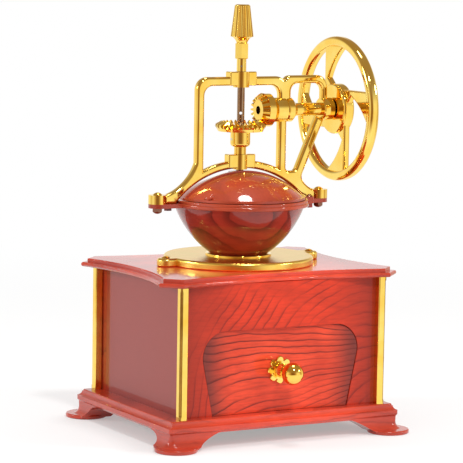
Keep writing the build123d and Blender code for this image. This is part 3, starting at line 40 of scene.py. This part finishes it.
def addCamera(spec):
    azimuth = math.radians(spec["azimuth"])
    elevation = math.radians(spec["elevation"])
    forward = Vector((
        math.sin(azimuth) * math.cos(elevation),
        math.cos(azimuth) * math.cos(elevation),
        -math.sin(elevation),
    ))
    right = Vector((math.cos(azimuth), -math.sin(azimuth), 0))
    up = right.cross(forward)
    aim = Vector((0, 0, spec["aimUp"])) + right * spec["aimRight"]
    place = aim - forward * spec["distance"]
    turned = Matrix.Rotation(math.radians(spec["roll"]), 3, forward)
    right = turned @ right
    up = turned @ up
    data = bpy.data.cameras.new("camera")
    data.lens = spec["lens"]
    data.sensor_width = spec["sensor"]
    data.clip_start = spec["clipStart"]
    data.clip_end = spec["clipEnd"]
    camera = bpy.data.objects.new("camera", data)
    camera.matrix_world = Matrix((
        (right.x, up.x, -forward.x, place.x),
        (right.y, up.y, -forward.y, place.y),
        (right.z, up.z, -forward.z, place.z),
        (0, 0, 0, 1),
    ))
    scene.collection.objects.link(camera)
    scene.camera = camera


addCamera(view)
print("camera placed")


def newTree(name):
    material = bpy.data.materials.new(name)
    material.use_nodes = True
    tree = material.node_tree
    shader = tree.nodes["Principled BSDF"]
    return material, tree, shader


def feed(tree, socket, value):
    if isinstance(value, bpy.types.NodeSocket):
        tree.links.new(value, socket)
    else:
        socket.default_value = value


def addNode(tree, kind, settings=None, **inputs):
    node = tree.nodes.new(kind)
    for key, value in (settings or {}).items():
        setattr(node, key, value)
    for key, value in inputs.items():
        feed(tree, node.inputs[key.replace("_", " ")], value)
    return node


def addMath(tree, operation, *values, clamp=False):
    node = tree.nodes.new("ShaderNodeMath")
    node.operation = operation
    node.use_clamp = clamp
    for socket, value in zip(node.inputs, values):
        feed(tree, socket, value)
    return node.outputs[0]


def addVectorMath(tree, operation, *values):
    node = tree.nodes.new("ShaderNodeVectorMath")
    node.operation = operation
    for socket, value in zip(node.inputs, values):
        feed(tree, socket, value)
    return node


def addMix(tree, factor, first, second):
    node = tree.nodes.new("ShaderNodeMix")
    node.data_type = "RGBA"
    sockets = (node.inputs[0], node.inputs[6], node.inputs[7])  # factor and the two colours
    for socket, value in zip(sockets, (factor, first, second)):
        feed(tree, socket, value)
    return node.outputs[2]  # the mixed colour


def addShare(tree, value, start, end, least=0.0, most=1.0):
    node = addNode(
        tree, "ShaderNodeMapRange", {"interpolation_type": "SMOOTHSTEP"},
        Value=value, From_Min=start, From_Max=end, To_Min=least, To_Max=most,
    )
    return node.outputs[0]


def addRamp(tree, factor, stops):
    node = tree.nodes.new("ShaderNodeValToRGB")
    ramp = node.color_ramp
    while len(ramp.elements) < len(stops):
        ramp.elements.new(0.5)
    for element, (place, colour) in zip(ramp.elements, stops):
        element.position = place
        element.color = (*colour, 1)
    tree.links.new(factor, node.inputs[0])
    return node.outputs[0]


def onObject(tree, scale=(1, 1, 1), turn=(0, 0, 0), shift=(0, 0, 0)):
    place = addNode(tree, "ShaderNodeTexCoord").outputs["Object"]
    mapping = addNode(tree, "ShaderNodeMapping", Vector=place)
    mapping.inputs["Scale"].default_value = scale
    mapping.inputs["Rotation"].default_value = [math.radians(angle) for angle in turn]
    mapping.inputs["Location"].default_value = shift
    return mapping.outputs[0]


def addNoise(tree, place, detail, scale=1.0, roughness=0.5):
    noise = addNode(
        tree, "ShaderNodeTexNoise", Vector=place, Scale=scale, Detail=detail, Roughness=roughness,
    )
    return noise.outputs["Fac"]


def grey(shade):
    return (shade, shade, shade)


# lacquered wood: growth lines that follow a fan or rings, fine fibres,
# a slow drift of tone and painted shade towards the left and right, all under a clear coat


def growthField(tree, place, spec):
    parts = addNode(tree, "ShaderNodeSeparateXYZ", Vector=place)
    if spec["figure"] == "fan":
        apexX, apexZ = spec["apex"]
        height = addMath(tree, "SUBTRACT", parts.outputs["Z"], apexZ)
        reach = addMath(tree, "SUBTRACT", apexX, parts.outputs["X"])
        share = addMath(tree, "DIVIDE", height, reach)
        return addMath(tree, "MULTIPLY", share, apexX)
    away = addVectorMath(tree, "SUBTRACT", place, spec["heart"])
    squashed = addVectorMath(tree, "MULTIPLY", away.outputs[0], spec["squash"])
    return addVectorMath(tree, "LENGTH", squashed.outputs[0]).outputs["Value"]


def addLines(tree, place, spec):
    sway = addNoise(
        tree, onObject(tree, spec["swayScale"], shift=spec["shift"]),
        spec["swayDetail"], roughness=spec["swayRoughness"],
    )
    wobble = addNoise(tree, place, spec["wobbleDetail"], spec["wobbleScale"])
    phase = addMath(tree, "MULTIPLY", growthField(tree, place, spec), spec["lines"])
    phase = addMath(tree, "ADD", phase, addMath(tree, "MULTIPLY", sway, spec["sway"]))
    phase = addMath(tree, "ADD", phase, addMath(tree, "MULTIPLY", wobble, spec["wobble"]))
    full = spec["lineWidth"]
    mask = addRamp(tree, addMath(tree, "FRACT", phase), [
        (0.0, grey(1.0)),
        (full, grey(spec["lineShoulder"])),
        (full + spec["lineTail"], grey(spec["lineFaint"])),
        (spec["lineGone"], grey(0.0)),
        (1 - full / 2, grey(spec["lineLead"])),
        (1.0, grey(1.0)),
    ])
    strong = addNoise(
        tree, onObject(tree, spec["strongScale"], shift=spec["shift"]), spec["strongDetail"],
    )
    presence = addShare(tree, strong, spec["strongStart"], spec["strongEnd"], spec["weakest"])
    fade = addMath(tree, "MULTIPLY", mask, presence)
    return addMath(tree, "MULTIPLY", fade, spec["lineStrength"], clamp=True)


def makeLacqueredWood(name, spec):
    material, tree, shader = newTree(name)
    place = onObject(tree)
    lines = addLines(tree, place, spec)
    tone = addNoise(
        tree, onObject(tree, spec["toneScale"], shift=spec["shift"]),
        spec["toneDetail"], roughness=spec["toneRoughness"],
    )
    ground = addRamp(tree, tone, [
        (spec["toneStart"], spec["deep"]), (spec["toneEnd"], spec["light"]),
    ])
    # painted shade: each lacquer darkens towards the grinder's left and right ends, standing in
    # for the shading at the edges of its panels and drawer
    side = addNode(tree, "ShaderNodeSeparateXYZ", Vector=place).outputs["X"]
    side = addMath(tree, "ABSOLUTE", side)
    side = addMath(tree, "ADD", side, addMath(tree, "MULTIPLY", tone, spec["edgeShadeDrift"]))
    edgeShaded = addShare(tree, side, spec["edgeShadeStart"], spec["edgeShadeEnd"], most=spec["edgeShadeStrength"])
    colour = addMix(tree, edgeShaded, ground, (*spec["edgeShade"], 1))
    colour = addMix(tree, lines, colour, (*spec["line"], 1))
    fibre = addNoise(
        tree, onObject(tree, spec["fibreScale"], spec["fibreTurn"]),
        spec["fibreDetail"], roughness=spec["fibreRoughness"],
    )
    fibre = addRamp(tree, fibre, [(spec["fibreStart"], grey(1.0)), (spec["fibreEnd"], grey(0.0))])
    fibre = addMath(tree, "MULTIPLY", fibre, spec["fibreStrength"])
    colour = addMix(tree, fibre, colour, (*spec["line"], 1))
    tree.links.new(colour, shader.inputs["Base Color"])
    shader.inputs["Roughness"].default_value = spec["roughness"]
    shader.inputs["Specular IOR Level"].default_value = spec["specular"]
    shader.inputs["Coat Weight"].default_value = spec["coat"]
    shader.inputs["Coat Roughness"].default_value = spec["coatRoughness"]
    ripple = addNoise(tree, place, spec["rippleDetail"], spec["rippleScale"])
    bump = addNode(
        tree, "ShaderNodeBump",
        Height=ripple, Strength=spec["ripple"], Distance=spec["rippleHeight"],
    )
    tree.links.new(bump.outputs[0], shader.inputs["Normal"])
    tree.links.new(bump.outputs[0], shader.inputs["Coat Normal"])
    return material


frontGrain = {
    "figure": "rings",  # or "fan"
    "heart": (0.07, 0.0, 0.005),  # centre of the rings, in metres
    "squash": (1.0, 0.25, 1.0),
    "shift": (0.35, 0, 0.2),  # which stretch of the noises shows
    "lines": 170.0,  # growth lines to a metre
    "swayScale": (18, 18, 18),
    "swayDetail": 1.5,
    "swayRoughness": 0.45,
    "sway": 4.0,
    "wobbleScale": 130.0,
    "wobbleDetail": 2.0,
    "wobble": 0.35,
    "lineWidth": 0.06,  # as shares of the gap from one line to the next
    "lineTail": 0.16,
    "lineShoulder": 0.75,  # how dark the line is at its width, its tail and just before the next
    "lineFaint": 0.12,
    "lineGone": 0.7,
    "lineLead": 0.1,
    "lineStrength": 0.8,
    "strongScale": (24, 24, 24),
    "strongDetail": 1.0,
    "strongStart": 0.4,
    "strongEnd": 0.62,
    "weakest": 0.16,
    "toneScale": (26, 26, 40),
    "toneDetail": 3.0,
    "toneRoughness": 0.55,
    "toneStart": 0.32,
    "toneEnd": 0.66,
    "fibreScale": (90, 90, 700),
    "fibreTurn": (0, 30, 0),
    "fibreDetail": 4.0,
    "fibreRoughness": 0.6,
    "fibreStart": 0.36,
    "fibreEnd": 0.56,
    "fibreStrength": 0.2,
    "edgeShade": (0.28, 0.026, 0.013),  # painted shade, darker towards the left and right edges where the panels' edges fall into shade
    "edgeShadeStart": 0.042,
    "edgeShadeEnd": 0.082,
    "edgeShadeDrift": 0.02,
    "edgeShadeStrength": 0.85,
    "deep": (0.52, 0.034, 0.012),
    "light": (0.84, 0.050, 0.014),
    "line": (0.16, 0.014, 0.010),
    "roughness": 0.4,
    "specular": 0.1,
    "coat": 0.4,
    "coatRoughness": 0.06,
    "ripple": 0.04,
    "rippleScale": 60.0,
    "rippleDetail": 2.0,
    "rippleHeight": 0.001,
}
drawerGrain = dict(
    frontGrain,
    figure="fan",
    apex=(0.14, 0.052),  # where the fan's lines meet, off the drawer's right edge
    lines=230.0,
    swayScale=(15, 15, 26),
    sway=4.2,
    wobbleScale=55.0,
    wobble=0.7,
    lineWidth=0.07,
    lineTail=0.16,
    lineStrength=1.0,
    shift=(0, 0, 0),
    strongScale=(12, 12, 90),
    strongStart=0.38,
    strongEnd=0.6,
    weakest=0.28,
    deep=(0.64, 0.048, 0.019),
    light=(0.97, 0.090, 0.034),
    line=(0.09, 0.010, 0.008),
    fibreTurn=(0, 0, 0),
    # painted shade at the drawer front's left and right edges, standing in for the shading of its
    # dished face
    edgeShade=(0.16, 0.030, 0.024),
    edgeShadeStart=0.038,
    edgeShadeEnd=0.06,
    edgeShadeDrift=0.014,
    edgeShadeStrength=0.92,
)
sideGrain = dict(
    frontGrain,
    coat=0.75,
    heart=(0.0, 0.4, 0.05),
    squash=(0.3, 0.1, 1.0),
    lines=90.0,
    lineStrength=0.12,
    fibreStrength=0.06,
    deep=(0.34, 0.036, 0.034),
    light=(0.40, 0.048, 0.040),
)
trimGrain = dict(
    frontGrain,
    heart=(0.02, 0.0, 0.3),
    squash=(0.5, 0.5, 1.0),
    lineStrength=0.45,
    fibreTurn=(0, 0, 0),
    coat=1.0,
    coatRoughness=0.11,
    edgeShadeStrength=0.55,
    deep=(0.66, 0.050, 0.022),
    light=(0.92, 0.084, 0.033),
)
bowlGrain = dict(
    frontGrain,
    heart=(-0.004, -0.03, 0.135),
    squash=(0.7, 0.4, 1.0),
    lines=95.0,
    sway=4.5,
    lineWidth=0.12,
    lineTail=0.3,
    lineStrength=0.75,
    strongStart=0.3,
    weakest=0.3,
    fibreStrength=0.1,
    coat=1.0,
    deep=(0.22, 0.020, 0.012),
    light=(0.40, 0.040, 0.022),
    line=(0.06, 0.008, 0.006),
)
lidGrain = dict(
    bowlGrain,
    heart=(0.02, -0.03, 0.19),
    lineStrength=0.3,
    deep=(0.35, 0.037, 0.014),
    light=(0.50, 0.065, 0.024),
    line=(0.20, 0.026, 0.014),
)
plainGrain = dict(
    frontGrain,
    heart=(0.0, 0.0, 0.6),
    lines=150.0,
    lineStrength=0.35,
    fibreTurn=(0, 0, 0),
    fibreStrength=0.3,
    edgeShadeStrength=0.0,
    deep=(0.44, 0.28, 0.15),
    light=(0.56, 0.38, 0.22),
    line=(0.26, 0.14, 0.07),
    roughness=0.6,
    coat=0.0,
)


# plated and turned metal: a slow cloud of tone and wear, fine grit and a soft swell


def makeMetal(name, spec):
    material, tree, shader = newTree(name)
    place = onObject(tree)
    cloud = addNoise(
        tree, place, spec["cloudDetail"], spec["cloudScale"], spec["cloudRoughness"],
    )
    colour = addRamp(tree, cloud, [
        (spec["cloudStart"], spec["deep"]), (spec["cloudEnd"], spec["light"]),
    ])
    tree.links.new(colour, shader.inputs["Base Color"])
    shader.inputs["Metallic"].default_value = 1.0
    smooth, rough = spec["roughness"]
    worn = addNode(tree, "ShaderNodeMapRange", Value=cloud, To_Min=smooth, To_Max=rough)
    tree.links.new(worn.outputs[0], shader.inputs["Roughness"])
    grit = addNoise(tree, place, spec["gritDetail"], spec["gritScale"])
    fine = addNode(
        tree, "ShaderNodeBump",
        Height=grit, Strength=spec["grit"], Distance=spec["gritHeight"],
    )
    swell = addNoise(tree, place, spec["swellDetail"], spec["swellScale"])
    bump = addNode(
        tree, "ShaderNodeBump",
        Height=swell, Strength=spec["swell"], Distance=spec["swellHeight"], Normal=fine.outputs[0],
    )
    tree.links.new(bump.outputs[0], shader.inputs["Normal"])
    return material


goldFinish = {
    "deep": (1.0, 0.62, 0.09),
    "light": (1.0, 0.76, 0.2),
    "roughness": (0.05, 0.10),
    "cloudScale": 60.0,
    "cloudDetail": 4.0,
    "cloudRoughness": 0.6,
    "cloudStart": 0.3,
    "cloudEnd": 0.7,
    "grit": 0.05,
    "gritScale": 240.0,
    "gritDetail": 3.0,
    "gritHeight": 0.0002,
    "swell": 0.12,
    "swellScale": 70.0,
    "swellDetail": 1.0,
    "swellHeight": 0.002,
}
steelFinish = dict(
    goldFinish, deep=(0.5, 0.5, 0.51), light=(0.68, 0.68, 0.69), roughness=(0.2, 0.32),
)
shaftFinish = dict(
    goldFinish, deep=(0.30, 0.19, 0.12), light=(0.44, 0.29, 0.18), roughness=(0.12, 0.22),
)
bronzeFinish = dict(
    goldFinish, deep=(0.42, 0.26, 0.11), light=(0.58, 0.38, 0.18), roughness=(0.28, 0.4),
)
ironFinish = dict(
    goldFinish, deep=(0.09, 0.09, 0.095), light=(0.16, 0.16, 0.165), roughness=(0.4, 0.55),
    grit=0.4,
)
boreShadeFinish = dict(
    goldFinish, deep=(0.05, 0.02, 0.012), light=(0.10, 0.045, 0.03), roughness=(0.22, 0.35),
)
brownFinish = dict(
    goldFinish, deep=(0.20, 0.085, 0.055), light=(0.34, 0.17, 0.12), roughness=(0.2, 0.32),
)
fluteShadeFinish = dict(
    goldFinish, deep=(0.32, 0.16, 0.028), light=(0.52, 0.28, 0.05), roughness=(0.16, 0.28),
)
satinFinish = dict(goldFinish, roughness=(0.2, 0.3), swell=0.05)

materials = {
    "front": makeLacqueredWood("lacquered front", frontGrain),
    "drawer": makeLacqueredWood("lacquered drawer front", drawerGrain),
    "side": makeLacqueredWood("lacquered sides", sideGrain),
    "trim": makeLacqueredWood("lacquered mouldings", trimGrain),
    "bowl": makeLacqueredWood("lacquered hopper", bowlGrain),
    "lid": makeLacqueredWood("lacquered lid", lidGrain),
    "plain": makeLacqueredWood("plain sanded wood", plainGrain),
    "gold": makeMetal("polished gold", goldFinish),
    "steel": makeMetal("bright steel", steelFinish),
    "shaft": makeMetal("oiled shaft", shaftFinish),
    "bronze": makeMetal("bearing bronze", bronzeFinish),
    "iron": makeMetal("burr iron", ironFinish),
    "satin": makeMetal("satin gold", satinFinish),
    "boreShade": makeMetal("painted bore shade", boreShadeFinish),
    "brown": makeMetal("brown plated screws", brownFinish),
    "fluteShade": makeMetal("gold with painted flute shade", fluteShadeFinish),
}
print("materials made:", len(materials))

finishes = {
    "front": ["front_panel", "back_panel"],
    "drawer": ["drawer_front"],
    "side": ["left_panel", "right_panel"],
    "trim": ["base_plinth", "top_moulding", "top_board", "crank_knob"],
    "bowl": ["hopper_bowl"],
    "lid": ["dome_rear", "dome_lid", "lid_knob"],
    "plain": [
        "floor_board", "drawer_guide", "drawer_left_side", "drawer_right_side",
        "drawer_floor", "drawer_back",
    ],
    "steel": [
        "pinion_pin", "collar_pin", "crown_pin", "thrust_washer", "burr_spring", "knob_screw",
    ],
    "shaft": ["vertical_shaft"],
    "bronze": ["upper_bush", "lower_bush", "axle_bush_inner", "axle_bush_outer", "adjuster_nut"],
    "iron": ["burr_housing", "outer_burr", "burr_bridge", "inner_burr"],
    "satin": ["deck_plate"],
    "brown": ["rim_screw_left", "rim_screw_right", "acorn_nut_left", "acorn_nut_right"],
}
finishOf = {node: finish for finish, named in finishes.items() for node in named}
for name, piece in nodes.items():
    piece.data.materials.clear()
    piece.data.materials.append(materials[finishOf.get(name, "gold")])

# painted light: the bowl's flange gets the lighter lid lacquer as though lit, though it is the
# same red as its cup;
# painted shade darkens the pinion's bore and the gold in the columns' flutes
accents = {
    "flangeStart": 0.1371,  # heights and distances in metres
    "boreHeight": 0.195,
    "boreRadius": 0.0031,
    "fluteX": 0.0704,
    "fluteY": 0.0595,
    "fluteRadius": 0.00108,
}


def onFlange(middle):
    return middle.z > accents["flangeStart"]


def inBore(middle):
    return math.hypot(middle.y, middle.z - accents["boreHeight"]) < accents["boreRadius"]


def inFlute(middle):
    awayX = abs(middle.x) - accents["fluteX"]
    awayY = abs(middle.y) - accents["fluteY"]
    return math.hypot(awayX, awayY) < accents["fluteRadius"]


def giveSecond(piece, finish, chosen):
    piece.data.materials.append(materials[finish])
    for face in piece.data.polygons:
        if chosen(piece.matrix_world @ face.center):
            face.material_index = 1


# painted light: the flange's faces take the lighter lid lacquer
giveSecond(nodes["hopper_bowl"], "lid", onFlange)
# painted shade inside the pinion's bore
giveSecond(nodes["pinion"], "boreShade", inBore)
# painted shade in the grooves of the columns' flutes
for name, piece in nodes.items():
    if name.startswith("column_"):
        giveSecond(piece, "fluteShade", inFlute)
print("finishes given")

# the floor, the world and the lamps
studio = {
    "floorSize": 60.0,
    "floorColour": (0.9, 0.895, 0.89, 1),
    "floorRoughness": 0.8,
    "floorSpecular": 0.1,
    "nearGlow": 0.36,
    "farGlow": 1.0,
    "glowStart": 0.15,
    "glowEnd": 0.9,
    "worldLight": 0.62,
    "roomNear": 0.16,
    "roomFar": 0.5,
    "walls": [  # what metal and lacquer mirror, once round the grinder from its back by its left
        (0.0, (1.0, 1.0, 1.0)),
        (0.12, (1.0, 1.0, 1.0)),
        (0.2, (0.72, 0.62, 0.5)),
        (0.27, (1.0, 1.0, 1.0)),
        (0.34, (0.62, 0.44, 0.28)),
        (0.385, (0.26, 0.14, 0.08)),
        (0.455, (0.26, 0.14, 0.08)),
        (0.5, (0.58, 0.4, 0.25)),
        (0.55, (1.0, 0.99, 0.96)),
        (0.61, (1.0, 0.99, 0.96)),
        (0.67, (0.55, 0.38, 0.22)),
        (0.74, (1.0, 1.0, 1.0)),
        (0.82, (0.66, 0.52, 0.38)),
        (0.9, (1.0, 1.0, 1.0)),
    ],
    "ceilingStart": 0.12,
    "ceilingEnd": 0.6,
    "ceilingTint": (0.36, 0.27, 0.2, 1),
}


def mirroredRays(tree):
    rays = addNode(tree, "ShaderNodeLightPath")
    glossy, through = rays.outputs["Is Glossy Ray"], rays.outputs["Is Transmission Ray"]
    mirrored = addMath(tree, "MAXIMUM", glossy, through)
    return rays, mirrored


def surroundings(tree, direction, spec):
    parts = addNode(tree, "ShaderNodeSeparateXYZ", Vector=direction)
    forward = addMath(tree, "MULTIPLY", parts.outputs["Y"], -1.0)
    heading = addMath(tree, "ARCTAN2", parts.outputs["X"], forward)
    turnShare = addMath(tree, "MULTIPLY_ADD", heading, 0.5 / math.pi, 0.5)
    return addRamp(tree, turnShare, spec["walls"])


def addFloor(spec):
    shape = bmesh.new()
    bmesh.ops.create_grid(shape, x_segments=1, y_segments=1, size=spec["floorSize"] / 2)
    mesh = bpy.data.meshes.new("floor")
    shape.to_mesh(mesh)
    shape.free()
    floor = bpy.data.objects.new("floor", mesh)
    scene.collection.objects.link(floor)
    material, tree, shader = newTree("pale floor")
    shader.inputs["Base Color"].default_value = spec["floorColour"]
    shader.inputs["Roughness"].default_value = spec["floorRoughness"]
    shader.inputs["Specular IOR Level"].default_value = spec["floorSpecular"]
    place = addNode(tree, "ShaderNodeTexCoord").outputs["Object"]
    rays, mirrored = mirroredRays(tree)
    away = addVectorMath(tree, "LENGTH", place).outputs["Value"]
    spread = addShare(
        tree, away, spec["glowStart"], spec["glowEnd"], spec["nearGlow"], spec["farGlow"],
    )
    seen = addMath(tree, "MULTIPLY", rays.outputs["Is Camera Ray"], spread)
    beyond = addShare(tree, away, spec["roomNear"], spec["roomFar"])
    tinted = addMath(tree, "MULTIPLY", beyond, mirrored)
    shade = addMix(tree, tinted, (1, 1, 1, 1), surroundings(tree, place, spec))
    shown = addMath(tree, "MAXIMUM", seen, addMath(tree, "MULTIPLY", mirrored, spread))
    glow = addNode(tree, "ShaderNodeEmission", Color=shade, Strength=1.0)
    mix = addNode(tree, "ShaderNodeMixShader", Fac=shown)
    tree.links.new(shader.outputs[0], mix.inputs[1])
    tree.links.new(glow.outputs[0], mix.inputs[2])
    tree.links.new(mix.outputs[0], tree.nodes["Material Output"].inputs["Surface"])
    mesh.materials.append(material)


def lightWorld(spec):
    world = bpy.data.worlds.new("studio")
    world.use_nodes = True
    scene.world = world
    tree = world.node_tree
    background = tree.nodes["Background"]
    rays, mirrored = mirroredRays(tree)
    direction = addNode(tree, "ShaderNodeTexCoord").outputs["Generated"]
    rise = addNode(tree, "ShaderNodeSeparateXYZ", Vector=direction).outputs["Z"]
    overhead = addShare(tree, rise, spec["ceilingStart"], spec["ceilingEnd"])
    walls = addMix(tree, overhead, surroundings(tree, direction, spec), spec["ceilingTint"])
    tree.links.new(addMix(tree, mirrored, (1, 1, 1, 1), walls), background.inputs["Color"])
    bright = addMath(tree, "MAXIMUM", mirrored, rays.outputs["Is Camera Ray"])
    strength = addNode(tree, "ShaderNodeMix", {"data_type": "FLOAT"})
    tree.links.new(bright, strength.inputs[0])
    strength.inputs[2].default_value = spec["worldLight"]
    strength.inputs[3].default_value = 1.0
    tree.links.new(strength.outputs[0], background.inputs["Strength"])


lampAim = (0, 0, 0.12)
lamps = {
    "key": {"place": (-0.2, -1.2, 1.5), "size": 0.22, "power": 11.5},
    "fill": {"place": (1.3, -1.0, 0.9), "size": 0.3, "power": 6.5},
    "top": {"place": (0.15, 0.0, 1.5), "size": 0.3, "power": 5.0},
    "left": {"place": (-1.5, 0.5, 0.7), "size": 0.4, "power": 8.0},
}


def addLamp(name, spec):
    data = bpy.data.lights.new(name, "AREA")
    data.shape = "DISK"
    data.size = spec["size"]
    data.energy = spec["power"]
    lamp = bpy.data.objects.new(name, data)
    lamp.location = spec["place"]
    aim = Vector(lampAim) - lamp.location
    lamp.rotation_euler = aim.to_track_quat("-Z", "Y").to_euler()
    scene.collection.objects.link(lamp)


addFloor(studio)
lightWorld(studio)
for name, spec in lamps.items():
    addLamp(name, spec)
print("studio set")
